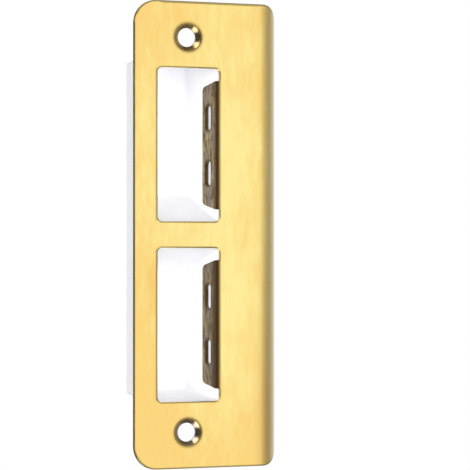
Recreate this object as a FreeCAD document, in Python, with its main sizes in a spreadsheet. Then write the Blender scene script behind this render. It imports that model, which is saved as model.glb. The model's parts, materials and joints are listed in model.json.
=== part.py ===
"""Door strike plate with its dust box.

The frame: the origin is midway between the two screw holes, in the plane of the plate's back face.
+X runs across the plate towards the rolled lip, +Y runs back into the door frame and +Z runs up
the plate's length. The plate's front faces -Y. All sizes are in millimetres and degrees.
"""
import FreeCAD, Part
import math
import os
import Sketcher

os.makedirs("parts", exist_ok=True)
doc = FreeCAD.newDocument("door_strike")

# Driving sizes: alias, value and meaning
SIZES = [
    ("plate_length", 160, "height of the plate"),
    ("sheet_thickness", 1.5, "thickness of the plate's sheet"),
    ("corner_radius", 8, "radius of the plate's four corners"),
    ("left_margin", 8.55, "plate's left edge to the keep openings"),
    ("right_flat", 14.45, "keep openings to the start of the rolled lip"),
    ("lip_radius", 9, "outside radius of the rolled lip"),
    ("lip_angle", 65, "angle that the lip turns through"),
    ("edge_round", 0.3, "round on the plate's front edges"),
    ("opening_width", 22.4, "width of each keep opening"),
    ("opening_shift", 0.25, "line of the screw holes to the middle of the openings, towards the lip"),
    ("opening_height", 52.5, "height of each keep opening"),
    ("opening_corner", 1.6, "radius in the corners of the openings"),
    ("opening_round", 0.7, "round on the front edges of the openings"),
    ("bridge_height", 9.2, "sheet left between the two openings"),
    ("tab_root_height", 44.2, "height of each tab at its fold"),
    ("tab_setback", 0.1, "round on the opening's edge to the start of the tab's fold"),
    ("tab_fold_radius", 2, "outside radius of the tab's fold"),
    ("tab_angle", 71, "angle that the tab is folded back through"),
    ("tab_reach", 6.8, "straight part of the tab behind its fold"),
    ("tab_taper", 1.9, "drop of each end of the tab over its straight part"),
    ("tab_corner", 1.75, "radius of the tab's free corners"),
    ("slot_width", 3, "width of each slot in a tab"),
    ("slot_height", 8.95, "height of each slot in a tab"),
    ("slot_spacing", 19.2, "distance between the two slots of a tab"),
    ("slot_edge", 3, "tab's free edge to the middle of the slots"),
    ("hole_spacing", 135.4, "distance between the two screw holes"),
    ("hole_radius", 3.25, "radius of the screw holes"),
    ("cone_angle", 45, "half angle of the countersink"),
    ("rim_round", 2.5, "round where the countersink meets the front face"),
    ("land_length", 0.65, "straight wall of a screw hole behind its countersink"),
    ("dimple_depth", 0.75, "how far a dimple stands out of the back face"),
    ("dimple_radius", 4.9, "radius of a dimple at the back face"),
    ("box_wall", 1.2, "wall of the dust box"),
    ("box_depth", 30.5, "depth of the dust box behind the plate"),
    ("tab_gap", 0.2, "clearance from the tab's fold to the mouth of the box"),
    ("dimple_gap", 0.4, "clearance from the upper dimple to the mouth of the box"),
    ("side_draft", 4, "slope of the long sides of the box"),
    ("top_draft", 2.7, "slope of the top of the box"),
    ("bottom_draft", 4.7, "slope of the bottom of the box"),
    ("divider_angle", 18, "slope of the two faces of the divider"),
    ("box_corner", 1, "outside round at the back of the box"),
    ("box_inner_corner", 1.3, "round inside the back of the box"),
]

sheet = doc.addObject("Spreadsheet::Sheet", "sizes")
for row, (alias, number, meaning) in enumerate(SIZES, start=1):
    sheet.set(f"A{row}", alias)
    sheet.set(f"B{row}", str(number))
    sheet.setAlias(f"B{row}", alias)
    sheet.set(f"C{row}", meaning)
doc.recompute()

# Room that cutting shapes have past the solid, so that no cut ends on a face
SPARE = "2"

# Lengths closer than this are the same, and a feature changes the volume by more than the second
SAME_LENGTH = 1e-4
LEAST_CHANGE = 1e-6

# Places worked out from the driving sizes
OPENING_LEFT = "(sizes.opening_shift - sizes.opening_width / 2)"
LEFT_EDGE = f"({OPENING_LEFT} - sizes.left_margin)"
OPENING_EDGE = "(sizes.opening_shift + sizes.opening_width / 2)"
LIP_START = f"({OPENING_EDGE} + sizes.right_flat)"
FRONT = "(-sizes.sheet_thickness)"
HALF_LENGTH = "(sizes.plate_length / 2)"
OPENING_LOW = "(sizes.bridge_height / 2)"
OPENING_HIGH = "(sizes.bridge_height / 2 + sizes.opening_height)"
OPENING_MIDDLE = "(sizes.bridge_height / 2 + sizes.opening_height / 2)"
FOLD_START = f"({OPENING_EDGE} + sizes.opening_round + sizes.tab_setback)"
HALF_ROOT = "(sizes.tab_root_height / 2)"
HOLE_HEIGHT = "(sizes.hole_spacing / 2)"


def value(formula):
    """The number that a formula on the size sheet gives."""
    return float(sheet.evalExpression(formula))


def new_body(label):
    """An empty body whose label names its file."""
    body = doc.addObject("PartDesign::Body", label)
    body.Label = label
    body.Placement = FreeCAD.Placement()
    return body


def origin_plane(body, role):
    """One of the body's own origin planes."""
    return next(item for item in body.Origin.OriginFeatures if item.Role == role)


def new_sketch(body, role, name, across="0", up="0", out="0", turn=None):
    """A sketch on an origin plane, moved by formulas and turned about its upright axis."""
    sketch = body.newObject("Sketcher::SketchObject", name)
    sketch.AttachmentSupport = [(origin_plane(body, role), "")]
    sketch.MapMode = "FlatFace"
    turned = value(turn) if turn else 0
    sketch.AttachmentOffset = FreeCAD.Placement(
        FreeCAD.Vector(value(across), value(up), value(out)),
        FreeCAD.Rotation(FreeCAD.Vector(0, 1, 0), turned),
    )
    sketch.setExpression("AttachmentOffset.Base.x", across)
    sketch.setExpression("AttachmentOffset.Base.y", up)
    sketch.setExpression("AttachmentOffset.Base.z", out)
    if turn:
        sketch.setExpression("AttachmentOffset.Rotation.Angle", turn)
    return sketch


def bind(sketch, kind, where, formula):
    """Add one driving size to a sketch and bind it to a formula."""
    number = sketch.addConstraint(Sketcher.Constraint(kind, *where, value(formula)))
    name = f"size_{number}"
    sketch.renameConstraint(number, name)
    sketch.setExpression(f"Constraints.{name}", formula)


def arc_between(start, end, radius, centre_on_left):
    """The short arc from start to end with its centre on the stated side of the way there."""
    chord = end - start
    middle = (start + end) * 0.5
    rise = math.sqrt(radius**2 - (chord.Length / 2) ** 2)
    aside = FreeCAD.Vector(-chord.y, chord.x, 0).normalize() * rise
    centre = middle + aside if centre_on_left else middle - aside
    first, last = (start, end) if centre_on_left else (end, start)
    angles = [math.atan2(spot.y - centre.y, spot.x - centre.x) for spot in (first, last)]
    circle = Part.Circle(centre, FreeCAD.Vector(0, 0, 1), radius)
    return Part.ArcOfCircle(circle, angles[0], angles[1])


def outline(sketch, corners, arcs=None):
    """Draw a closed outline through corners, each a pair of formulas.

    arcs gives, for the number of a corner, the radius of the arc that leaves it and whether the
    arc's centre is on the left of the way along it. All other corners are left by a straight line.
    """
    arcs = arcs or {}
    spots = [FreeCAD.Vector(value(across), value(up), 0) for across, up in corners]
    ends = []
    for number, start in enumerate(spots):
        end = spots[(number + 1) % len(spots)]
        if number in arcs:
            radius, centre_on_left = arcs[number]
            edge = sketch.addGeometry(arc_between(start, end, value(radius), centre_on_left))
            ends.append((edge, 1, 2) if centre_on_left else (edge, 2, 1))
        else:
            edge = sketch.addGeometry(Part.LineSegment(start, end))
            ends.append((edge, 1, 2))
    for number, (edge, begin, finish) in enumerate(ends):
        after, after_begin, _ = ends[(number + 1) % len(ends)]
        sketch.addConstraint(Sketcher.Constraint("Coincident", edge, finish, after, after_begin))
    for (edge, begin, _), (across, up) in zip(ends, corners):
        bind(sketch, "DistanceX", (edge, begin), across)
        bind(sketch, "DistanceY", (edge, begin), up)
    for number, (radius, _) in arcs.items():
        bind(sketch, "Radius", (ends[number][0],), radius)


def slot(sketch, across, up):
    """Draw an upright slot with round ends about a middle point."""
    middle = FreeCAD.Vector(value(across), value(up), 0)
    radius = value("sizes.slot_width / 2")
    rise = value("(sizes.slot_height - sizes.slot_width) / 2")
    upright = FreeCAD.Vector(0, rise, 0)
    aside = FreeCAD.Vector(radius, 0, 0)
    normal = FreeCAD.Vector(0, 0, 1)
    top_circle = Part.Circle(middle + upright, normal, radius)
    low_circle = Part.Circle(middle - upright, normal, radius)
    top = sketch.addGeometry(Part.ArcOfCircle(top_circle, 0, math.pi))
    left = sketch.addGeometry(Part.LineSegment(middle + upright - aside, middle - upright - aside))
    low = sketch.addGeometry(Part.ArcOfCircle(low_circle, math.pi, 2 * math.pi))
    right = sketch.addGeometry(Part.LineSegment(middle - upright + aside, middle + upright + aside))
    loop = [top, left, low, right]
    for edge, after in zip(loop, loop[1:] + loop[:1]):
        sketch.addConstraint(Sketcher.Constraint("Tangent", edge, 2, after, 1))
    sketch.addConstraint(Sketcher.Constraint("Equal", top, low))
    bind(sketch, "Radius", (top,), "sizes.slot_width / 2")
    for arc, sign in ((top, "+"), (low, "-")):
        bind(sketch, "DistanceX", (arc, 3), across)
        bind(sketch, "DistanceY", (arc, 3), f"{up} {sign} (sizes.slot_height - sizes.slot_width) / 2")


def volume_of(body):
    """The volume of the body as far as it has been built."""
    doc.recompute()
    return body.Shape.Volume if body.Tip else 0


def extrusion(body, kind, name, sketch, length=None, both_ways=False, reverse=False):
    """Pad or pocket a sketch, and make sure that it changed the solid the right way."""
    before = volume_of(body)
    feature = body.newObject(f"PartDesign::{kind}", name)
    feature.Profile = sketch
    feature.Reversed = reverse
    if both_ways:
        feature.SideType = "Symmetric"
    if length:
        feature.setExpression("Length", length)
    else:
        feature.Type = "ThroughAll"
    check_change(body, feature, before)
    return feature


def turned_part(body, kind, name, sketch):
    """Revolve or groove a sketch about its level axis, and make sure that it changed the solid."""
    before = volume_of(body)
    feature = body.newObject(f"PartDesign::{kind}", name)
    feature.Profile = sketch
    feature.ReferenceAxis = (sketch, ["H_Axis"])
    feature.Angle = 360
    check_change(body, feature, before)
    return feature


def check_change(body, feature, before):
    """Stop if a feature that adds did not add, or one that cuts did not cut."""
    change = volume_of(body) - before
    adds = feature.TypeId in ("PartDesign::Pad", "PartDesign::Revolution", "PartDesign::AdditiveWedge")
    if (change > 0) != adds or abs(change) < LEAST_CHANGE:
        raise RuntimeError(f"{feature.Name} changed the volume by {change:.3f}")


def rounded_edges(body, name, radius, wanted):
    """Fillet each edge of the body that wanted accepts."""
    doc.recompute()
    base = body.Tip
    edges = [f"Edge{n}" for n, edge in enumerate(base.Shape.Edges, start=1) if wanted(edge)]
    if not edges:
        raise RuntimeError(f"{name} found no edges")
    feature = body.newObject("PartDesign::Fillet", name)
    feature.Base = (base, edges)
    feature.setExpression("Radius", radius)
    doc.recompute()
    return feature


def mirrored(body, name, features, role):
    """Repeat features on the other side of one of the body's origin planes."""
    feature = body.newObject("PartDesign::Mirrored", name)
    feature.Originals = features
    feature.MirrorPlane = (origin_plane(body, role), [""])
    body.Tip = feature
    doc.recompute()
    return feature


def near(first, second):
    """Whether two lengths are the same."""
    return abs(first - second) < SAME_LENGTH


# The strike plate: one sheet with a rolled lip, openings, folded tabs and dimpled screw holes
def bent_sheet(body):
    """The flat sheet and its rolled lip, drawn in section and run along the plate's length."""
    lip_inside = "(sizes.lip_radius - sizes.sheet_thickness)"
    lip_back = f"({FRONT} + sizes.lip_radius)"
    corners = [
        (LEFT_EDGE, FRONT),
        (LIP_START, FRONT),
        (
            f"{LIP_START} + sizes.lip_radius * sin(sizes.lip_angle)",
            f"{lip_back} - sizes.lip_radius * cos(sizes.lip_angle)",
        ),
        (
            f"{LIP_START} + {lip_inside} * sin(sizes.lip_angle)",
            f"{lip_back} - {lip_inside} * cos(sizes.lip_angle)",
        ),
        (LIP_START, "0"),
        (LEFT_EDGE, "0"),
    ]
    section = new_sketch(body, "XY_Plane", "plate_section")
    outline(section, corners, {1: ("sizes.lip_radius", True), 3: (lip_inside, False)})
    extrusion(body, "Pad", "bent_sheet", section, "sizes.plate_length", both_ways=True)


def left_corners(body):
    """The two rounded corners on the flat side of the plate."""

    def at_left_corner(edge):
        ends = [vertex.Point for vertex in edge.Vertexes]
        return (
            len(ends) == 2
            and all(near(spot.x, value(LEFT_EDGE)) for spot in ends)
            and all(near(abs(spot.z), value(HALF_LENGTH)) for spot in ends)
            and near(ends[0].z, ends[1].z)
        )

    return rounded_edges(body, "left_corners", "sizes.corner_radius", at_left_corner)


def lip_corner(body):
    """The upper rounded corner of the lip, cut square to the lip halfway round the corner."""
    # half the angle that the rounded corner covers on the lip
    half_turn = "(sizes.corner_radius / (2 * sizes.lip_radius) * 180 / pi)"
    lip_end = f"(sizes.lip_radius * sin({half_turn}))"
    corner = new_sketch(
        body,
        "XZ_Plane",
        "lip_corner_outline",
        across=LIP_START,
        out="sizes.sheet_thickness - sizes.lip_radius",
        turn=f"sizes.lip_angle - {half_turn}",
    )
    corners = [
        (f"{lip_end} - sizes.corner_radius", HALF_LENGTH),
        (lip_end, f"{HALF_LENGTH} - sizes.corner_radius"),
        (f"{lip_end} + {SPARE}", f"{HALF_LENGTH} - sizes.corner_radius"),
        (f"{lip_end} + {SPARE}", f"{HALF_LENGTH} + {SPARE}"),
        (f"{lip_end} - sizes.corner_radius", f"{HALF_LENGTH} + {SPARE}"),
    ]
    outline(corner, corners, {0: ("sizes.corner_radius", False)})
    return extrusion(body, "Pocket", "lip_corner", corner, reverse=True)


def keep_opening(body):
    """The upper keep opening, with its rounded corners."""
    radius = "sizes.opening_corner"
    corners = [
        (f"{OPENING_LEFT} + {radius}", OPENING_LOW),
        (f"{OPENING_EDGE} - {radius}", OPENING_LOW),
        (OPENING_EDGE, f"{OPENING_LOW} + {radius}"),
        (OPENING_EDGE, f"{OPENING_HIGH} - {radius}"),
        (f"{OPENING_EDGE} - {radius}", OPENING_HIGH),
        (f"{OPENING_LEFT} + {radius}", OPENING_HIGH),
        (OPENING_LEFT, f"{OPENING_HIGH} - {radius}"),
        (OPENING_LEFT, f"{OPENING_LOW} + {radius}"),
    ]
    cut = new_sketch(body, "XZ_Plane", "opening_outline")
    outline(cut, corners, {number: (radius, True) for number in (1, 3, 5, 7)})
    return extrusion(body, "Pocket", "keep_opening", cut, "4 * sizes.sheet_thickness", both_ways=True)


def tab_notch(body):
    """The cut beside the upper opening that sets the fold of its tab back from the opening's edge."""
    tab_low = f"({OPENING_MIDDLE} - {HALF_ROOT})"
    tab_high = f"({OPENING_MIDDLE} + {HALF_ROOT})"
    inside = f"({OPENING_EDGE} - {SPARE})"
    corners = [(inside, tab_low), (FOLD_START, tab_low), (FOLD_START, tab_high), (inside, tab_high)]
    cut = new_sketch(body, "XZ_Plane", "notch_outline")
    outline(cut, corners)
    return extrusion(body, "Pocket", "tab_notch", cut, "4 * sizes.sheet_thickness", both_ways=True)


def folded_tab(body):
    """The upper tab at its full root height: the fold and the straight part behind it."""
    inside = "(sizes.tab_fold_radius - sizes.sheet_thickness)"
    fold_back = f"({FRONT} + sizes.tab_fold_radius)"
    along = ("(-cos(sizes.tab_angle))", "sin(sizes.tab_angle)")
    outer_end = (
        f"({FOLD_START} - sizes.tab_fold_radius * sin(sizes.tab_angle))",
        f"({fold_back} - sizes.tab_fold_radius * cos(sizes.tab_angle))",
    )
    inner_end = (
        f"({FOLD_START} - {inside} * sin(sizes.tab_angle))",
        f"({fold_back} - {inside} * cos(sizes.tab_angle))",
    )
    corners = [
        (FOLD_START, FRONT),
        (FOLD_START, "0"),
        inner_end,
        tuple(f"{spot} + sizes.tab_reach * {way}" for spot, way in zip(inner_end, along)),
        tuple(f"{spot} + sizes.tab_reach * {way}" for spot, way in zip(outer_end, along)),
        outer_end,
    ]
    section = new_sketch(body, "XY_Plane", "tab_section", out=OPENING_MIDDLE)
    outline(section, corners, {1: (inside, False), 5: ("sizes.tab_fold_radius", True)})
    return extrusion(body, "Pad", "folded_tab", section, "sizes.tab_root_height", both_ways=True)


def tab_sketch(body, name):
    """A sketch on the tab's own plane, with its origin at the end of the fold halfway up."""
    return new_sketch(
        body,
        "XZ_Plane",
        name,
        across=FOLD_START,
        up=OPENING_MIDDLE,
        out="sizes.sheet_thickness - sizes.tab_fold_radius",
        turn="180 - sizes.tab_angle",
    )


def tab_ends(body):
    """The tapered ends and rounded free corners of the upper tab."""
    taper = "(atan(sizes.tab_taper / sizes.tab_reach) / 1 deg)"
    tangent = f"(sizes.tab_corner / tan(45 + {taper} / 2))"
    end_height = f"({HALF_ROOT} - sizes.tab_taper)"
    upper = [
        ("0", HALF_ROOT),
        (f"sizes.tab_reach - {tangent} * cos({taper})", f"{end_height} + {tangent} * sin({taper})"),
        ("sizes.tab_reach", f"{end_height} - {tangent}"),
        (f"sizes.tab_reach + {SPARE}", f"{end_height} - {tangent}"),
        (f"sizes.tab_reach + {SPARE}", f"{HALF_ROOT} + {SPARE}"),
        ("0", f"{HALF_ROOT} + {SPARE}"),
    ]
    lower = [(across, f"-({up})") for across, up in upper]
    ends = tab_sketch(body, "tab_end_outlines")
    outline(ends, upper, {1: ("sizes.tab_corner", False)})
    outline(ends, lower, {1: ("sizes.tab_corner", True)})
    return extrusion(body, "Pocket", "tab_ends", ends, f"sizes.tab_fold_radius + {SPARE}")


def tab_slots(body):
    """The two slots through the upper tab."""
    slots = tab_sketch(body, "tab_slot_outlines")
    for side in ("", "-"):
        slot(slots, "sizes.tab_reach - sizes.slot_edge", f"{side}sizes.slot_spacing / 2")
    return extrusion(body, "Pocket", "tab_slots", slots, f"sizes.tab_fold_radius + {SPARE}")


def dimple(body):
    """The ring that the countersink presses out of the sheet's back."""
    top_radius = "(sizes.dimple_radius - sizes.dimple_depth * tan(sizes.cone_angle))"
    middle_sheet = f"({FRONT} / 2)"
    corners = [
        (middle_sheet, "sizes.hole_radius / 2"),
        ("sizes.dimple_depth", "sizes.hole_radius / 2"),
        ("sizes.dimple_depth", top_radius),
        ("0", "sizes.dimple_radius"),
        (middle_sheet, "sizes.dimple_radius"),
    ]
    section = new_sketch(body, "YZ_Plane", "dimple_section", up=HOLE_HEIGHT)
    outline(section, corners)
    return turned_part(body, "Revolution", "dimple", section)


def screw_hole(body):
    """The countersunk screw hole with its soft rim."""
    cone_depth = "(sizes.sheet_thickness + sizes.dimple_depth - sizes.land_length)"
    cone_radius = f"(sizes.hole_radius + {cone_depth} * tan(sizes.cone_angle))"
    tangent = "(sizes.rim_round * tan(45 - sizes.cone_angle / 2))"
    corners = [
        (f"{FRONT} - {SPARE}", "0"),
        (f"{FRONT} - {SPARE}", f"{cone_radius} + {tangent}"),
        (FRONT, f"{cone_radius} + {tangent}"),
        (
            f"{FRONT} + {tangent} * cos(sizes.cone_angle)",
            f"{cone_radius} - {tangent} * sin(sizes.cone_angle)",
        ),
        (f"{FRONT} + {cone_depth}", "sizes.hole_radius"),
        (f"sizes.dimple_depth + {SPARE}", "sizes.hole_radius"),
        (f"sizes.dimple_depth + {SPARE}", "0"),
    ]
    section = new_sketch(body, "YZ_Plane", "screw_hole_section", up=HOLE_HEIGHT)
    outline(section, corners, {2: ("sizes.rim_round", True)})
    return turned_part(body, "Groove", "screw_hole", section)


def upright_at(edge, across):
    """Whether an edge runs up the plate at a place across it."""
    ends = [vertex.Point for vertex in edge.Vertexes]
    in_place = all(near(spot.x, value(across)) for spot in ends)
    return len(ends) == 2 and in_place and not near(ends[0].z, ends[1].z)


def front_upright_at(edge, across):
    """The same, on the front face."""
    return upright_at(edge, across) and near(edge.Vertexes[0].Y, value(FRONT))


def opening_rounds(body):
    """The rounds on the front edges of both openings, each all the way round."""
    rounded_edges(
        body, "opening_rounds", "sizes.opening_round", lambda edge: front_upright_at(edge, OPENING_LEFT)
    )


def soft_edges(body):
    """The rounds along the lip's outer end and, from there, along the whole front outline."""
    lip_end = f"{LIP_START} + sizes.lip_radius * sin(sizes.lip_angle)"
    rounded_edges(body, "lip_end_round", "sizes.edge_round", lambda edge: upright_at(edge, lip_end))
    rounded_edges(
        body, "outline_round", "sizes.edge_round", lambda edge: front_upright_at(edge, LEFT_EDGE)
    )


def strike_plate():
    """The folded plate: its upper half's features are repeated below by a mirror."""
    body = new_body("strike_plate")
    bent_sheet(body)
    left_corners(body)
    mirrored(body, "lower_lip_corner", [lip_corner(body)], "XY_Plane")
    soft_edges(body)
    mirrored(body, "lower_opening", [keep_opening(body)], "XY_Plane")
    opening_rounds(body)
    upper_half = [
        tab_notch(body),
        folded_tab(body),
        tab_ends(body),
        tab_slots(body),
        dimple(body),
        screw_hole(body),
    ]
    mirrored(body, "lower_half", upper_half, "XY_Plane")
    return body


# The dust box: a thin tapered moulding with a hollow wedge between its two pockets
MOUTH_HALF_WIDTH = f"({FOLD_START} + sizes.tab_gap)"
MOUTH_TOP = "(sizes.hole_spacing / 2 - sizes.dimple_radius - sizes.dimple_gap - sizes.box_wall)"
MOUTH_BOTTOM = OPENING_HIGH


def box_limits(depth, wall):
    """Formulas for the half width, top and bottom of the box at a depth, a wall out from its inside."""
    return (
        f"({MOUTH_HALF_WIDTH} + {wall} - {depth} * tan(sizes.side_draft))",
        f"({MOUTH_TOP} + {wall} - {depth} * tan(sizes.top_draft))",
        f"(-{MOUTH_BOTTOM} - {wall} + {depth} * tan(sizes.bottom_draft))",
    )


def wedge(body, kind, name, depths, limits):
    """Add or cut a tapered block between two depths, with the half width, top and bottom at each."""
    before = volume_of(body)
    feature = body.newObject(f"PartDesign::{kind}", name)
    formulas = {"Ymin": depths[0], "Ymax": depths[1]}
    for place, (half_width, top, bottom) in zip(("", "2"), limits):
        formulas[f"X{place}min"] = f"-{half_width}"
        formulas[f"X{place}max"] = half_width
        formulas[f"Z{place}min"] = bottom
        formulas[f"Z{place}max"] = top
    for size, formula in formulas.items():
        setattr(feature, size, value(formula))
        feature.setExpression(size, formula)
    check_change(body, feature, before)


def box_shell(body):
    """The outside of the box, tapered from its mouth to its back."""
    depths = ("0", "sizes.box_depth")
    limits = [box_limits(depth, "sizes.box_wall") for depth in depths]
    wedge(body, "AdditiveWedge", "box_outside", depths, limits)

    def behind_the_mouth(edge):
        return max(vertex.Point.y for vertex in edge.Vertexes) > value("sizes.box_depth / 2")

    rounded_edges(body, "outside_rounds", "sizes.box_corner", behind_the_mouth)


def divider_face(depth):
    """A formula for the height of the divider's upper face at a depth."""
    return f"({OPENING_LOW} + {depth} * tan(sizes.divider_angle))"


def pocket(body, name, upper):
    """One of the two pockets that the latch and the bolt go into."""
    depths = (f"(-{SPARE})", "(sizes.box_depth - sizes.box_wall)")
    limits = []
    for depth in depths:
        half_width, top, bottom = box_limits(depth, "0")
        if upper:
            limits.append((half_width, top, divider_face(depth)))
        else:
            limits.append((half_width, f"(-{divider_face(depth)})", bottom))
    wedge(body, "SubtractiveWedge", name, depths, limits)


def divider_recess(body):
    """The hollow behind the divider, open at the back, which leaves an even wall all round."""
    depths = ("sizes.box_wall", f"(sizes.box_depth + {SPARE})")
    limits = []
    for depth in depths:
        half_height = f"({divider_face(depth)} - sizes.box_wall / cos(sizes.divider_angle))"
        limits.append((box_limits(depth, "0")[0], half_height, f"(-{half_height})"))
    wedge(body, "SubtractiveWedge", "divider_recess", depths, limits)


def pocket_rounds(body):
    """The rounds inside the pockets: along their four long edges and round their back walls."""
    floor_depth = value("sizes.box_depth - sizes.box_wall")

    def inside_a_pocket(edge):
        ends = [vertex.Point for vertex in edge.Vertexes]
        return max(spot.y for spot in ends) < floor_depth + SAME_LENGTH and any(
            near(spot.y, floor_depth) for spot in ends
        )

    rounded_edges(body, "pocket_rounds", "sizes.box_inner_corner", inside_a_pocket)


def dust_box():
    """The moulded box behind the plate."""
    body = new_body("dust_box")
    box_shell(body)
    pocket(body, "upper_pocket", upper=True)
    pocket(body, "lower_pocket", upper=False)
    pocket_rounds(body)
    divider_recess(body)
    return body


def check_and_write(bodies):
    """Stop if anything failed to build, then write one file for each body."""
    doc.recompute()
    failed = [item.Name for item in doc.Objects if {"Invalid", "Error"} & set(item.State)]
    if failed:
        raise RuntimeError(f"failed objects: {failed}")
    for body in bodies:
        if body.Shape.isNull() or not body.Shape.isValid() or len(body.Shape.Solids) != 1:
            raise RuntimeError(f"{body.Label} is not one valid solid")
    for body in bodies:
        body.Shape.exportStep(os.path.join("parts", f"{body.Label}.step"))
        box = body.Shape.optimalBoundingBox(False)
        print(
            f"{body.Label}: {body.Shape.Volume:.1f} mm3, X {box.XMin:.2f} to {box.XMax:.2f},"
            f" Y {box.YMin:.2f} to {box.YMax:.2f}, Z {box.ZMin:.2f} to {box.ZMax:.2f}"
        )


check_and_write([strike_plate(), dust_box()])
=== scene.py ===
"""Dresses the door strike plate and its dust box for the picture.

Both pieces are the CAD nodes themselves. This script gives each a procedural material, and adds the
stage, the light and the camera. Lengths in the materials are in millimetres in the row frame, and
those of the stage are in metres.
"""

import json
import math

import bpy
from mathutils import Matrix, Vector


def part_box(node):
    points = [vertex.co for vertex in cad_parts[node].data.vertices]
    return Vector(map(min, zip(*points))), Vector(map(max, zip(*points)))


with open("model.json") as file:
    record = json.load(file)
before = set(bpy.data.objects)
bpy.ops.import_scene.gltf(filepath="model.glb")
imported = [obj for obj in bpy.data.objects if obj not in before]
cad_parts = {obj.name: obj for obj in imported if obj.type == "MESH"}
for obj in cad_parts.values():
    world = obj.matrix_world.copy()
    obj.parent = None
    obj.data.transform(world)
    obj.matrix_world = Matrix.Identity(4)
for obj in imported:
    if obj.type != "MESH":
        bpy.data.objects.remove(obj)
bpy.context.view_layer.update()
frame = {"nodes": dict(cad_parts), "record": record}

MM_PER_M = 1000.0

# Places on the plate. The lip and the tabs are bent round upright lines.
plate_low, plate_high = (corner * MM_PER_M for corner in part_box("strike_plate"))
screw_holes = next(m for m in frame["record"]["mounts"] if m["name"] == "screw_holes")
CORNER_RADIUS = 8.0
LIP_RADIUS = 9.0
LIP_START_X = 25.9
LIP_CENTRE_Y = plate_low.y + LIP_RADIUS
LIP_ANGLE = math.radians(65.0)
HOLE_Z = screw_holes["dims"]["spacing_y_mm"] / 2.0
HOLE_RADIUS = screw_holes["dims"]["hole_r_mm"]
RIM_RADIUS = 5.9
OPENING_LEFT_X = -10.95
OPENING_CENTRE_Z = 30.85
OPENING_HALF_HEIGHT = 26.25
FOLD_START_X = 12.25
TAB_LEFT_X = 7.0
TAB_HALF_HEIGHT = 22.1
TAB_START_Y = -0.15
TAB_ANGLE = math.radians(71.0)
SLOT_HALF_WIDTH = 1.5
SLOT_HALF_HEIGHT = 4.475
SLOT_SPACING = 19.2
SLOT_MIDDLE = 3.8

# Half the height of the band round the middle in which a tint of one half of the plate fades
HALVES_FADE = 2.0

# Most of a noise lies between these two levels
NOISE_LOW = 0.3
NOISE_HIGH = 0.7


def linear(colour):
    """A colour given as 0 to 255 on the screen, as the shader's linear light."""
    result = []
    for part in colour:
        share = part / 255.0
        result.append(share / 12.92 if share <= 0.04045 else ((share + 0.055) / 1.055) ** 2.4)
    return (*result, 1.0)


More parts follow.
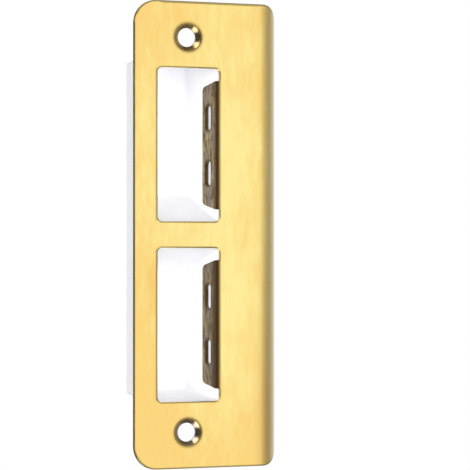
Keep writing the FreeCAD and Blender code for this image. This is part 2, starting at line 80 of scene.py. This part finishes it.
class Graph:
    """Adds nodes to one node tree. Each call gives back the output that the next one takes."""

    def __init__(self, tree):
        self.tree = tree
        tree.nodes.clear()

    def add(self, kind, **settings):
        node = self.tree.nodes.new(kind)
        for name, value in settings.items():
            setattr(node, name, value)
        return node

    def feed(self, socket, value):
        if isinstance(value, bpy.types.NodeSocket):
            self.tree.links.new(value, socket)
        else:
            socket.default_value = value

    def math(self, operation, *values, clamp=False):
        node = self.add("ShaderNodeMath", operation=operation, use_clamp=clamp)
        for socket, value in zip(node.inputs, values):
            self.feed(socket, value)
        return node.outputs[0]

    def product(self, *values):
        result = values[0]
        for value in values[1:]:
            result = self.math("MULTIPLY", result, value)
        return result

    def total(self, *values):
        result = values[0]
        for value in values[1:]:
            result = self.math("ADD", result, value)
        return result

    def minus(self, first, second):
        return self.math("SUBTRACT", first, second)

    def absolute(self, value):
        return self.math("ABSOLUTE", value)

    def larger(self, first, second):
        return self.math("MAXIMUM", first, second)

    def smaller(self, first, second):
        return self.math("MINIMUM", first, second)

    def outside(self, mask):
        """1 where the mask is 0, and 0 where it is 1."""
        return self.minus(1.0, mask)

    def both(self, first, second):
        """The sum of two masks, never more than 1."""
        return self.math("ADD", first, second, clamp=True)

    def length(self, first, second):
        """The length of a line, from its two parts at right angles."""
        return self.math("SQRT", self.total(self.product(first, first), self.product(second, second)))

    def rise(self, value, low, high, top=1.0):
        """0 where the value is low, top where it is high, and smooth in between."""
        node = self.add("ShaderNodeMapRange", interpolation_type="SMOOTHSTEP")
        self.feed(node.inputs["Value"], value)
        first, last = (low, high) if low < high else (high, low)
        node.inputs["From Min"].default_value = first
        node.inputs["From Max"].default_value = last
        node.inputs["To Min"].default_value = 0.0 if low < high else top
        node.inputs["To Max"].default_value = top if low < high else 0.0
        return node.outputs["Result"]

    def above(self, value, limit, fade):
        """1 where the value is above the limit. It fades between two distances below the limit."""
        none, full = fade
        return self.rise(value, limit - none, limit - full)

    def below(self, value, limit, fade):
        """1 where the value is below the limit. It fades between two distances above the limit."""
        none, full = fade
        return self.rise(value, limit + none, limit + full)

    def spread(self, value, low, high, new_low, new_high):
        """Maps low to high onto new_low to new_high, in a straight line and held at both ends."""
        node = self.add("ShaderNodeMapRange", clamp=True)
        self.feed(node.inputs["Value"], value)
        for name, number in (
            ("From Min", low),
            ("From Max", high),
            ("To Min", new_low),
            ("To Max", new_high),
        ):
            node.inputs[name].default_value = number
        return node.outputs["Result"]

    def vary(self, noise, low, high):
        """Spreads a noise from low to high."""
        return self.spread(noise, NOISE_LOW, NOISE_HIGH, low, high)

    def mix(self, factor, first, second):
        node = self.add("ShaderNodeMix", data_type="RGBA", clamp_factor=True)
        self.feed(node.inputs["Factor"], factor)
        for name, value in (("A", first), ("B", second)):
            socket = [s for s in node.inputs if s.name == name and s.type == "RGBA"][0]
            self.feed(socket, value)
        return [s for s in node.outputs if s.type == "RGBA"][0]

    def tint(self, factor, colour, new_colour):
        """Mixes a plain colour over what is there."""
        return self.mix(factor, colour, linear(new_colour))

    def between(self, factor, colours):
        """Mixes two plain colours."""
        first, second = colours
        return self.mix(factor, linear(first), linear(second))

    def blend(self, factor, first, second):
        """The same as mix, for plain numbers."""
        node = self.add("ShaderNodeMix", data_type="FLOAT", clamp_factor=True)
        self.feed(node.inputs[0], factor)
        self.feed(node.inputs[2], first)
        self.feed(node.inputs[3], second)
        return node.outputs[0]

    def split(self, vector):
        node = self.add("ShaderNodeSeparateXYZ")
        self.feed(node.inputs[0], vector)
        return node.outputs[0], node.outputs[1], node.outputs[2]

    def join(self, x, y, z):
        node = self.add("ShaderNodeCombineXYZ")
        for socket, value in zip(node.inputs, (x, y, z)):
            self.feed(socket, value)
        return node.outputs[0]

    def noise(self, place, waves, detail, rough):
        scaled = [self.product(part, count) for part, count in zip(place, waves)]
        node = self.add("ShaderNodeTexNoise")
        self.feed(node.inputs["Vector"], self.join(*scaled))
        node.inputs["Scale"].default_value = 1.0
        node.inputs["Detail"].default_value = detail
        node.inputs["Roughness"].default_value = rough
        return node.outputs["Fac"]

    def bump(self, height, strength, depth, normal=None):
        node = self.add("ShaderNodeBump")
        node.inputs["Strength"].default_value = strength
        node.inputs["Distance"].default_value = depth / MM_PER_M
        self.feed(node.inputs["Height"], height)
        if normal is not None:
            self.feed(node.inputs["Normal"], normal)
        return node.outputs["Normal"]


def new_material(name):
    material = bpy.data.materials.new(name)
    material.use_nodes = True
    return material, Graph(material.node_tree)


def place_and_normal(g):
    """The point in millimetres and the surface direction, each as three numbers."""
    source = g.add("ShaderNodeTexCoord")
    scaled = g.add("ShaderNodeVectorMath", operation="SCALE")
    g.feed(scaled.inputs[0], source.outputs["Object"])
    scaled.inputs["Scale"].default_value = MM_PER_M
    return g.split(scaled.outputs[0]), g.split(source.outputs["Normal"])


def shader(g, **constants):
    node = g.add("ShaderNodeBsdfPrincipled")
    for name, value in constants.items():
        node.inputs[name.replace("_", " ")].default_value = value
    out = g.add("ShaderNodeOutputMaterial")
    g.feed(out.inputs["Surface"], node.outputs[0])
    return node


# Where a mask fades along an edge: its distances outwards from the edge where it is 0 and where it is 1
OUTLINE_FADE = (-0.7, -0.35)
SEAT_FADE = (0.0, -1.1)
NEAR_SEAT_FADE = (1.5, 0.7)
TAB_LEFT_FADE = (0.5, 0.0)
TAB_RIGHT_FADE = (0.0, -1.3)
TAB_END_FADE = (0.2, 0.1)
FOLD_FADE = (2.5, 1.4)
SLOT_RIM_FADE = (0.6, 0.25)
OPENING_FADE = (1.5, 1.2)
OPENING_RIGHT_FADE = (0.6, 0.3)
LEFT_ROUND_FADE = (0.3, 0.0)
ROLLED_LEFT_FADE = (1.15, 0.75)
ROLLED_RIGHT_FADE = (-0.3, -0.6)
ROLLED_END_FADE = (0.4, -1.0)

# The painted shade along the outline is drawn in full at the plate's ends, faintly down its left side,
# and wider at the top
OUTLINE_ENDS = (0.0, 4.0)
OUTLINE_LEFT = (0.0, -4.0)
OUTLINE_LEFT_SHARE = 0.1
OUTLINE_TOP_EXTRA = 0.3
OUTLINE_TOP_ENDS = (0.0, -3.0)

# How squarely a surface faces, from 0 to 1 or from -1 to 1, where a mask is 0 and where it is 1
BACK_FACING = (0.0, -0.5)
CUT_FACING = (0.85, 0.5)
PUNCHED_FACING = (0.6, 0.2)
ROUND_OFF_FRONT = (0.9995, 0.97)
ROUND_OFF_CUT = (0.4, 0.8)
ROUND_RIGHTWARDS = (-0.4, -0.1)
ROUND_UPWARDS = (0.12, 0.3)
ROLLED_FACING = (0.5, 0.8)
TAB_EDGE_FACING = (0.6, 0.85)

# How far back a tab's cut edge begins to show
TAB_EDGE_START = (-0.1, 0.3)

# How strongly the painted shade on the rounds of an opening shows: across it, at its left edge, and
# where they are rolled in
ROUND_SHARE = 0.38
LEFT_ROUND_SHARE = 0.95
ROLLED_SHARE = 0.5


class Plate:
    """Where things are on the plate. Each mask is 1 on what it names and 0 elsewhere."""

    def __init__(self, g):
        self.g = g
        self.place, self.normal = place_and_normal(g)
        self.x, self.y, self.z = self.place
        self.height = g.absolute(self.z)
        self.lower = g.rise(self.z, HALVES_FADE, -HALVES_FADE)
        self.along, self.out_of_sheet, self.back = self.follow_sheet()
        # Painted shade along the plate's rounded outline
        self.outline = self.find_outline_shade()
        self.from_axis = g.length(self.x, g.minus(self.height, HOLE_Z))
        self.seat = g.below(self.from_axis, RIM_RADIUS, SEAT_FADE)
        self.from_middle = g.absolute(g.minus(self.height, OPENING_CENTRE_Z))
        self.tab = g.product(
            g.above(self.x, TAB_LEFT_X, TAB_LEFT_FADE),
            g.below(self.x, FOLD_START_X, TAB_RIGHT_FADE),
            g.below(self.from_middle, TAB_HALF_HEIGHT, TAB_END_FADE),
        )
        self.fold = g.product(self.tab, g.above(self.x, FOLD_START_X, FOLD_FADE))
        # Painted shade round the tabs' slots
        self.slot_rim_shade = self.find_slot_rim_shade()
        self.in_opening = g.product(
            g.above(self.x, OPENING_LEFT_X, OPENING_FADE),
            g.below(self.x, FOLD_START_X, OPENING_RIGHT_FADE),
            g.below(self.from_middle, OPENING_HALF_HEIGHT, OPENING_FADE),
        )
        self.punched = g.product(
            self.in_opening,
            g.rise(self.out_of_sheet, *PUNCHED_FACING),
            g.outside(self.tab),
        )
        # Painted shade on the rounds of the openings
        self.opening_round_shade = self.find_opening_round_shade()
        self.cut = g.both(self.find_plate_edge(), self.find_tab_edge())

    def follow_sheet(self):
        """The distance along the sheet and round its lip, and which way the surface faces there."""
        g = self.g
        nx, ny, _ = self.normal
        past_start = g.larger(g.minus(self.x, LIP_START_X), 0.0)
        turn = g.math("ARCTAN2", past_start, g.minus(LIP_CENTRE_Y, self.y))
        along = g.math("MULTIPLY_ADD", turn, LIP_RADIUS, g.smaller(self.x, LIP_START_X))
        sideways = g.product(nx, g.math("SINE", turn))
        backwards = g.product(ny, g.math("COSINE", turn))
        out_of_sheet = g.absolute(g.minus(sideways, backwards))
        back = g.rise(g.minus(sideways, ny), *BACK_FACING)
        return along, out_of_sheet, back

    def find_outline_shade(self):
        """Painted shade: a darker line just inside the plate's rounded outline, standing in for the dark
        that its rounded edge reflects, measured along the sheet.
        """
        g = self.g
        end = LIP_START_X + LIP_RADIUS * LIP_ANGLE
        half_width = (end - plate_low.x) / 2.0
        from_centre = g.absolute(g.minus(self.along, (end + plate_low.x) / 2.0))
        past_x = g.minus(from_centre, half_width - CORNER_RADIUS)
        past_z = g.minus(self.height, plate_high.z - CORNER_RADIUS)
        in_corner = g.length(g.larger(past_x, 0.0), g.larger(past_z, 0.0))
        inside = g.smaller(g.larger(past_x, past_z), 0.0)
        wider_top = g.product(
            g.rise(self.z, -HALVES_FADE, HALVES_FADE, top=OUTLINE_TOP_EXTRA),
            g.rise(past_x, *OUTLINE_TOP_ENDS),
        )
        from_outline = g.total(in_corner, inside, wider_top, -CORNER_RADIUS)
        near_ends = g.rise(past_z, *OUTLINE_ENDS)
        near_left = g.rise(self.along, *OUTLINE_LEFT, top=OUTLINE_LEFT_SHARE)
        return g.product(g.rise(from_outline, *OUTLINE_FADE), g.larger(near_ends, near_left))

    def find_slot_rim_shade(self):
        """Painted shade on the rims and walls of the tabs' slots, measured down the slope of the tab."""
        g = self.g
        down_tab = g.product(g.minus(self.y, TAB_START_Y), 1.0 / math.sin(TAB_ANGLE))
        up_slot = g.absolute(g.minus(self.from_middle, SLOT_SPACING / 2.0))
        past_slot = g.larger(g.minus(up_slot, SLOT_HALF_HEIGHT - SLOT_HALF_WIDTH), 0.0)
        from_slot = g.length(past_slot, g.minus(down_tab, SLOT_MIDDLE))
        return g.product(self.tab, g.below(from_slot, SLOT_HALF_WIDTH, SLOT_RIM_FADE))

    def find_opening_round_shade(self):
        """Painted shade on the rounds between the front and the punched faces of the openings."""
        g = self.g
        nx, _, nz = self.normal
        edge_round = g.product(
            self.in_opening,
            g.rise(self.out_of_sheet, *ROUND_OFF_FRONT),
            g.rise(self.out_of_sheet, *ROUND_OFF_CUT),
            g.larger(g.rise(nx, *ROUND_RIGHTWARDS), g.rise(g.absolute(nz), *ROUND_UPWARDS)),
            g.blend(g.below(self.x, OPENING_LEFT_X, LEFT_ROUND_FADE), ROUND_SHARE, LEFT_ROUND_SHARE),
        )
        rolled_in = g.product(
            g.above(self.x, OPENING_LEFT_X, ROLLED_LEFT_FADE),
            g.below(self.x, OPENING_LEFT_X, ROLLED_RIGHT_FADE),
            g.below(self.from_middle, OPENING_HALF_HEIGHT, ROLLED_END_FADE),
            g.rise(self.out_of_sheet, *ROLLED_FACING),
            ROLLED_SHARE,
        )
        return g.product(g.larger(edge_round, rolled_in), g.outside(self.tab))

    def find_plate_edge(self):
        """The sheared edge round the plate and through its screw holes."""
        g = self.g
        return g.product(
            g.outside(self.in_opening),
            g.rise(self.out_of_sheet, *CUT_FACING),
            g.outside(g.below(self.from_axis, RIM_RADIUS, NEAR_SEAT_FADE)),
            g.outside(self.tab),
        )

    def find_tab_edge(self):
        """The sheared edges of the tabs, which face up, down or along the tab."""
        g = self.g
        nx, ny, nz = self.normal
        down_tab = g.minus(
            g.product(ny, math.sin(TAB_ANGLE)),
            g.product(nx, math.cos(TAB_ANGLE)),
        )
        return g.product(
            self.tab,
            g.rise(g.length(nz, down_tab), *TAB_EDGE_FACING),
            g.rise(self.y, *TAB_EDGE_START),
        )

    def noise(self, kind):
        """A noise that runs straight through the plate."""
        return self.g.noise(self.place, *kind)

    def sheet_noise(self, kind):
        """A noise that follows the sheet round the lip."""
        return self.g.noise((self.along, self.y, self.z), *kind)


# Noises: their waves per millimetre across, back and up, their detail and their roughness
BROAD = ((0.08, 0.1, 0.05), 3.0, 0.5)
STREAK = ((0.5, 0.5, 0.13), 3.0, 0.6)
HAIR = ((3.6, 3.5, 0.28), 4.0, 0.65)
FINE = ((12.0, 9.0, 0.5), 3.0, 0.6)
MOTTLE = ((0.9, 0.9, 0.5), 4.0, 0.6)
SPECK = ((5.0, 5.0, 4.0), 3.0, 0.7)
BAND = ((2.4, 0.8, 0.14), 3.0, 0.6)
CRACK = ((1.1, 1.1, 0.35), 5.0, 0.7)
STAIN = ((0.8, 0.4, 0.1), 2.0, 0.5)
CLOUD = ((0.12, 0.12, 0.05), 3.0, 0.55)
GRAIN = ((5.0, 5.0, 5.0), 3.0, 0.6)

# Tints of the brushed front, as they are on the screen from 0 to 255
YELLOW_GOLD = (254, 236, 154)
ORANGE_GOLD = (250, 211, 121)
PALE_HAIR = (255, 237, 168)
# Painted shade on the foot of the lip
LOWER_LIP_SHADE = (226, 188, 112)
# Painted reflection of the pale surroundings on the lip's end
LIP_END_REFLECTION = (250, 240, 212)
WORN = (246, 203, 118)
# Painted shade along the plate's rounded outline
OUTLINE_SHADE = (156, 136, 84)

# Straight slopes: where a slope begins and ends, and its level at each. The first ones add up to how
# orange the front is. Those of a pair are multiplied.
ORANGE_LEFT = (plate_low.x, 14.0, 0.7, 0.0)
ORANGE_RIGHT = (16.0, 29.0, 0.0, 0.65)
ORANGE_ENDS = (28.0, 72.0, 0.0, 0.45)
ORANGE_FOOT = (-50.0, plate_low.z, 0.0, 0.5)
ORANGE_BESIDE_OPENINGS = ((-4.0, -12.0, 0.0, 1.0), (22.0, -18.0, -0.2, 0.45))
YELLOW_UPPER_RIGHT = ((20.0, 29.0, 0.0, -0.3), (30.0, 60.0, 0.0, 1.0))
ORANGE_CHANGE = 0.3
HAIR_SLOPE = (0.4, 0.7, 0.0, 0.3)
LIP_END_SLOPE = (29.3, 34.3, 0.0, 0.85)
OUTLINE_SHARE = 0.85

# Painted shade darkens the foot of the lip: across, up to the lip's end, and downwards
LOWER_LIP_ACROSS = (24.0, 28.0, 0.0, 0.7)
LOWER_LIP_END = (31.5, 29.5)
LOWER_LIP_DOWN = (10.0, -55.0, 0.0, 1.0)

# The plating is worn and darker on a small place to the left of the lower opening
WORN_LEFT = (-15.6, -13.6)
WORN_RIGHT = (-9.0, -10.0)
WORN_TOP = (-8.0, -14.0)
WORN_FOOT = (-29.0, -22.0)
WORN_STREAKS = (0.3, 0.6, 0.35, 0.9)


def brushed_front(g, plate, streak, hair):
    """The tint of the brushed front, between yellow and orange gold, with painted shade on the lip's
    foot and along the outline, and a painted reflection towards the lip's end.
    """
    along, z = plate.along, plate.z
    beside, beside_down = ORANGE_BESIDE_OPENINGS
    right, right_up = YELLOW_UPPER_RIGHT
    orange = g.total(
        g.spread(along, *ORANGE_LEFT),
        g.spread(along, *ORANGE_RIGHT),
        g.spread(plate.height, *ORANGE_ENDS),
        g.spread(z, *ORANGE_FOOT),
        g.product(g.spread(along, *beside), g.spread(z, *beside_down)),
        g.product(g.spread(along, *right), g.spread(z, *right_up)),
        g.vary(streak, -ORANGE_CHANGE, ORANGE_CHANGE),
        g.vary(plate.sheet_noise(BROAD), -ORANGE_CHANGE, ORANGE_CHANGE),
    )
    colour = g.between(orange, (YELLOW_GOLD, ORANGE_GOLD))
    colour = g.tint(g.spread(hair, *HAIR_SLOPE), colour, PALE_HAIR)
    # Painted shade on the foot of the lip
    lower_lip_shade = g.product(
        g.spread(along, *LOWER_LIP_ACROSS),
        g.rise(along, *LOWER_LIP_END),
        g.spread(z, *LOWER_LIP_DOWN),
    )
    colour = g.tint(lower_lip_shade, colour, LOWER_LIP_SHADE)
    # Painted reflection of the pale surroundings towards the lip's end
    colour = g.tint(g.spread(along, *LIP_END_SLOPE), colour, LIP_END_REFLECTION)
    worn = g.product(
        g.rise(along, *WORN_LEFT),
        g.rise(along, *WORN_RIGHT),
        g.rise(z, *WORN_TOP),
        g.rise(z, *WORN_FOOT),
        g.spread(streak, *WORN_STREAKS),
    )
    colour = g.tint(worn, colour, WORN)
    # Painted shade along the plate's rounded outline
    return g.tint(g.product(plate.outline, OUTLINE_SHARE), colour, OUTLINE_SHADE)


# Tints of the tabs, and how much of each shows at a level of its noise
BRONZE = ((122, 106, 76), (194, 174, 132))
GREY_STAIN = (150, 140, 138)
DARK_CRACK = (88, 76, 58)
BRIGHT_SPECK = (228, 210, 166)
BAND_SLOPE = (0.4, 0.6, 0.0, 1.0)
STAIN_SLOPE = (0.48, 0.6, 0.0, 0.7)
CRACK_SLOPE = (0.38, 0.47, 0.8, 0.0)
SPECK_SLOPE = (0.6, 0.72, 0.0, 0.6)

# Painted shade on the tabs, round the slots and on the lower tab, and the darker folds: where or how
# strongly each shows
# Painted shade round the tabs' slots
SLOT_RIM_SHADE = (98, 86, 74)
SLOT_RIM_SHARE = 0.7
# Painted shade on the lower tab, more towards its fold
LOWER_TAB_SHADE = (88, 80, 60)
LOWER_TAB_SLOPE = (8.2, 9.4, 0.2, 0.4)
LOWER_TAB_RIGHT_SHADE = (84, 72, 60)
LOWER_TAB_RIGHT_FADE = (9.6, 10.2)
LOWER_TAB_RIGHT_SHARE = 0.8
FOLD = (104, 76, 40)


def bronze_tabs(g, plate, speck):
    """The tabs' dull, mottled plating. The folds are darker, and painted shade lies round the slots and
    on the lower tab.
    """
    colour = g.between(g.spread(plate.noise(BAND), *BAND_SLOPE), BRONZE)
    colour = g.tint(g.spread(plate.noise(STAIN), *STAIN_SLOPE), colour, GREY_STAIN)
    colour = g.tint(g.spread(plate.noise(CRACK), *CRACK_SLOPE), colour, DARK_CRACK)
    colour = g.tint(g.spread(speck, *SPECK_SLOPE), colour, BRIGHT_SPECK)
    # Painted shade round the tabs' slots
    colour = g.tint(g.product(plate.slot_rim_shade, SLOT_RIM_SHARE), colour, SLOT_RIM_SHADE)
    # Painted shade on the lower tab, more towards its fold
    shade = g.product(plate.lower, g.spread(plate.x, *LOWER_TAB_SLOPE))
    colour = g.tint(shade, colour, LOWER_TAB_SHADE)
    right_shade = g.product(
        plate.lower,
        g.rise(plate.x, *LOWER_TAB_RIGHT_FADE),
        LOWER_TAB_RIGHT_SHARE,
    )
    colour = g.tint(right_shade, colour, LOWER_TAB_RIGHT_SHADE)
    return g.tint(plate.fold, colour, FOLD)


# Patches on what the brushing doesn't reach: the shares of two noises, and their levels
PATCH_SPECK_SHARE = 0.5
PATCH_MOTTLE_SHARE = 0.7
PATCH_LEVELS = (0.45, 0.75)

# Tints of the other surfaces. Patches lie between the two of a pair, and the deep part of a screw seat
# has one for the upper seat and one for the lower seat.
BACK = ((206, 180, 112), (224, 200, 134))
SHEARED = ((112, 90, 42), (140, 118, 62))
PUNCHED = ((236, 226, 200), (244, 236, 214))
# Painted shade on the rounds of the openings
PUNCHED_ROUND_SHADE = (140, 120, 70)
TURNED = ((196, 166, 96), (212, 180, 108))
TURNED_DEEP = ((168, 148, 118), (152, 144, 142))
TURNED_DEEP_FADE = (1.9, -0.2)

# How rough each surface is, from its smoothest to its roughest places
FRONT_ROUGH = (0.26, 0.36)
BACK_ROUGH = (0.38, 0.5)
SEAT_ROUGH = (0.16, 0.24)
TAB_ROUGH = (0.34, 0.5)
CUT_ROUGH = (0.3, 0.55)

# Fine relief, as its strength and its depth. The rings in the screw seats are left by turning.
BRUSHED_RELIEF = (0.35, 0.02)
RING_RELIEF = (0.12, 0.004)
UNEVEN_RELIEF = (0.5, 0.05)
RELIEF_HAIR_SHARE = 0.6
RELIEF_FINE_SHARE = 0.4
RING_PITCH = 0.22


def gold_plate():
    """Gold plated sheet steel: brushed front, dark sheared edges, dull tabs and turned screw seats."""
    material, g = new_material("gold_plated_sheet")
    plate = Plate(g)
    streak = plate.sheet_noise(STREAK)
    hair = plate.sheet_noise(HAIR)
    fine = plate.sheet_noise(FINE)
    speck = plate.noise(SPECK)
    mottle = g.product(plate.noise(MOTTLE), PATCH_MOTTLE_SHARE)
    patch = g.spread(g.math("MULTIPLY_ADD", speck, PATCH_SPECK_SHARE, mottle), *PATCH_LEVELS, 0.0, 1.0)

    deep = g.below(plate.from_axis, HOLE_RADIUS, TURNED_DEEP_FADE)
    turned = g.mix(deep, g.between(patch, TURNED), g.between(plate.lower, TURNED_DEEP))
    colour = brushed_front(g, plate, streak, hair)
    colour = g.mix(plate.back, colour, g.between(patch, BACK))
    colour = g.mix(plate.seat, colour, turned)
    colour = g.mix(plate.tab, colour, bronze_tabs(g, plate, speck))
    colour = g.mix(plate.cut, colour, g.between(patch, SHEARED))
    colour = g.mix(plate.punched, colour, g.between(patch, PUNCHED))
    # Painted shade on the rounds of the openings
    colour = g.tint(plate.opening_round_shade, colour, PUNCHED_ROUND_SHADE)

    rough = g.vary(hair, *FRONT_ROUGH)
    rough = g.blend(plate.back, rough, g.spread(patch, 0.0, 1.0, *BACK_ROUGH))
    rough = g.blend(plate.seat, rough, g.spread(patch, 0.0, 1.0, *SEAT_ROUGH))
    rough = g.blend(plate.tab, rough, g.spread(patch, 0.0, 1.0, *TAB_ROUGH))
    rough = g.blend(plate.cut, rough, g.vary(speck, *CUT_ROUGH))

    elsewhere = (plate.back, plate.tab, plate.cut, plate.seat)
    brushed = g.product(*(g.outside(mask) for mask in elsewhere))
    scratches = g.total(g.product(hair, RELIEF_HAIR_SHARE), g.product(fine, RELIEF_FINE_SHARE))
    rings = g.math("SINE", g.product(plate.from_axis, 2.0 * math.pi / RING_PITCH))
    uneven = g.product(speck, g.both(plate.tab, plate.cut))
    normal = g.bump(g.product(scratches, brushed), *BRUSHED_RELIEF)
    normal = g.bump(g.product(rings, plate.seat), *RING_RELIEF, normal)
    normal = g.bump(uneven, *UNEVEN_RELIEF, normal)

    along_plate = g.add(
        "ShaderNodeVectorTransform",
        vector_type="VECTOR",
        convert_from="OBJECT",
        convert_to="WORLD",
    )
    along_plate.inputs[0].default_value = (0.0, 0.0, 1.0)

    bsdf = shader(g, Metallic=1.0, Anisotropic=0.5)
    g.feed(bsdf.inputs["Base Color"], colour)
    g.feed(bsdf.inputs["Roughness"], rough)
    g.feed(bsdf.inputs["Normal"], normal)
    g.feed(bsdf.inputs["Tangent"], along_plate.outputs[0])
    return material


PLASTIC = ((244, 244, 248), (249, 249, 250))
PLASTIC_ROUGH = (0.42, 0.56)
PLASTIC_RELIEF = (0.25, 0.012)


def white_plastic():
    """White moulded plastic, matt, with a fine moulded grain and faint flow marks."""
    material, g = new_material("white_moulded_plastic")
    place, _ = place_and_normal(g)
    cloud = g.noise(place, *CLOUD)
    grain = g.noise(place, *GRAIN)
    bsdf = shader(g, Specular_IOR_Level=0.4)
    g.feed(bsdf.inputs["Base Color"], g.between(g.vary(cloud, 0.0, 1.0), PLASTIC))
    g.feed(bsdf.inputs["Roughness"], g.vary(grain, *PLASTIC_ROUGH))
    g.feed(bsdf.inputs["Normal"], g.bump(grain, *PLASTIC_RELIEF))
    return material


def dress(node, material):
    """Puts the material in every slot of a CAD node."""
    slots = frame["nodes"][node].data.materials
    slots.clear()
    slots.append(material)


# The light by direction: degrees round from the front, rightwards, and a level
AROUND = (
    (-180, 0.50),
    (-150, 0.45),
    (-120, 0.42),
    (-95, 0.36),
    (-78, 0.16),
    (-60, 0.08),
    (-35, 0.12),
    (-20, 0.40),
    (-6, 0.92),
    (10, 1.08),
    (24, 1.10),
    (38, 0.97),
    (50, 0.68),
    (62, 0.50),
    (76, 0.40),
    (90, 0.37),
    (98, 0.49),
    (106, 0.53),
    (120, 0.70),
    (150, 0.86),
    (180, 0.50),
)

# Its share straight up and down, and how far up and down that begins and ends
POLE_SHARE = 0.3
POLE_FADE = (0.35, 0.95)

# Two bright patches, one above and one below, that put the glints in the screw seats
GLINT_AIM = (-0.51, -0.44, 0.739)
GLINT_SIDES = (-1.0, 1.0)
GLINT_FADE = (0.92, 0.98)
GLINT_LEVEL = 3.5


def studio():
    """The light from all round, by direction: bright in front and to its right, darker at both sides."""
    world = bpy.data.worlds.new("studio")
    bpy.context.scene.world = world
    world.use_nodes = True
    g = Graph(world.node_tree)
    direction = g.add("ShaderNodeTexCoord").outputs["Generated"]
    x, y, z = g.split(direction)
    azimuth = g.math("ARCTAN2", x, g.product(y, -1.0))
    ramp = g.add("ShaderNodeValToRGB")
    g.feed(ramp.inputs[0], g.spread(azimuth, -math.pi, math.pi, 0.0, 1.0))
    stops = ramp.color_ramp.elements
    while len(stops) < len(AROUND):
        stops.new(0.5)
    for stop, (degrees, level) in zip(stops, AROUND):
        stop.position = (degrees + 180.0) / 360.0
        stop.color = (level, level, level, 1.0)
    pole = g.rise(g.absolute(z), *POLE_FADE)
    level = g.product(ramp.outputs[0], g.blend(pole, 1.0, POLE_SHARE))

    # Only reflections see the glints, and the picture's background is white
    glint = 0.0
    aim_x, aim_y, aim_z = GLINT_AIM
    for side in GLINT_SIDES:
        dot = g.add("ShaderNodeVectorMath", operation="DOT_PRODUCT")
        g.feed(dot.inputs[0], direction)
        dot.inputs[1].default_value = Vector((aim_x, aim_y, side * aim_z)).normalized()
        glint = g.total(glint, g.rise(dot.outputs["Value"], *GLINT_FADE))
    rays = g.add("ShaderNodeLightPath")
    seen_glint = g.product(glint, rays.outputs["Is Glossy Ray"])
    level = g.math("MULTIPLY_ADD", seen_glint, GLINT_LEVEL, level)
    level = g.blend(rays.outputs["Is Camera Ray"], level, 1.0)

    light = g.add("ShaderNodeBackground")
    g.feed(light.inputs["Color"], g.join(level, level, level))
    light.inputs["Strength"].default_value = 1.0
    out = g.add("ShaderNodeOutputWorld")
    g.feed(out.inputs["Surface"], light.outputs[0])


# Soft lamps aimed at the part: name, place, size and power in watts
LAMPS = (
    ("front_fill", (-0.5, -1.2, -0.03), (2.4, 1.0), 37.0),
    ("corner_fill", (-1.15, -0.85, 0.0), (1.0, 1.0), 5.0),
    ("left_fill", (-1.6, 0.1, 0.2), (1.4, 1.4), 2.0),
    ("back_fill", (0.6, 1.4, 0.9), (1.2, 1.2), 14.0),
)


def softbox(name, place, size, power):
    """A soft lamp aimed at the part. It isn't seen in the metal."""
    lamp = bpy.data.lights.new(name, "AREA")
    lamp.shape = "RECTANGLE"
    lamp.size, lamp.size_y = size
    lamp.energy = power
    made = bpy.data.objects.new(name, lamp)
    bpy.context.scene.collection.objects.link(made)
    made.location = place
    made.rotation_mode = "QUATERNION"
    made.rotation_quaternion = (-Vector(place)).to_track_quat("-Z", "Y")
    made.visible_glossy = False
    made.visible_camera = False


# The floor is a disc below the part. It glows a little, so that it stays pale in every view.
FLOOR_RADIUS = 6.0
FLOOR_DEPTH = 1.0
FLOOR_SIDES = 96
FLOOR_COLOUR = (0.9, 0.9, 0.9, 1.0)
FLOOR_GLOW_COLOUR = (1.0, 1.0, 1.0, 1.0)
FLOOR_GLOW = 0.4


def floor():
    """A plain pale floor, far enough below that nothing hides the part from low down."""
    mesh = bpy.data.meshes.new("floor")
    rim = []
    for step in range(FLOOR_SIDES):
        turn = 2.0 * math.pi * step / FLOOR_SIDES
        rim.append((FLOOR_RADIUS * math.cos(turn), FLOOR_RADIUS * math.sin(turn), -FLOOR_DEPTH))
    mesh.from_pydata(rim, [], [range(FLOOR_SIDES)])
    made = bpy.data.objects.new("floor", mesh)
    bpy.context.scene.collection.objects.link(made)
    material, g = new_material("pale_floor")
    bsdf = shader(g, Roughness=0.9, Specular_IOR_Level=0.1)
    bsdf.inputs["Base Color"].default_value = FLOOR_COLOUR
    bsdf.inputs["Emission Color"].default_value = FLOOR_GLOW_COLOUR
    bsdf.inputs["Emission Strength"].default_value = FLOOR_GLOW
    mesh.materials.append(material)

    # The floor neither shows in the metal nor lights the part
    made.visible_glossy = False
    made.visible_diffuse = False


# The camera, as the photograph was taken
CAMERA_PLACE = Vector((-0.2766, -0.7398, -0.007))
CAMERA_AZIMUTH = math.radians(21.7)
CAMERA_PITCH = math.radians(0.5)
SENSOR_WIDTH = 36.0
FOCAL_PIXELS = 2302.5
PICTURE_PIXELS = 470.0
CLIP_NEAR = 0.01
CLIP_FAR = 50.0


def camera():
    data = bpy.data.cameras.new("camera")
    data.sensor_width = SENSOR_WIDTH
    data.lens = FOCAL_PIXELS * SENSOR_WIDTH / PICTURE_PIXELS
    data.clip_start, data.clip_end = CLIP_NEAR, CLIP_FAR
    made = bpy.data.objects.new("camera", data)
    bpy.context.scene.collection.objects.link(made)
    made.location = CAMERA_PLACE
    level = math.cos(CAMERA_PITCH)
    forward = Vector((
        math.sin(CAMERA_AZIMUTH) * level,
        math.cos(CAMERA_AZIMUTH) * level,
        math.sin(CAMERA_PITCH),
    ))
    made.rotation_mode = "QUATERNION"
    made.rotation_quaternion = forward.to_track_quat("-Z", "Y")
    bpy.context.scene.camera = made


dress("strike_plate", gold_plate())
dress("dust_box", white_plastic())
studio()
for lamp in LAMPS:
    softbox(*lamp)
floor()
camera()
bpy.context.scene.view_settings.view_transform = "Standard"
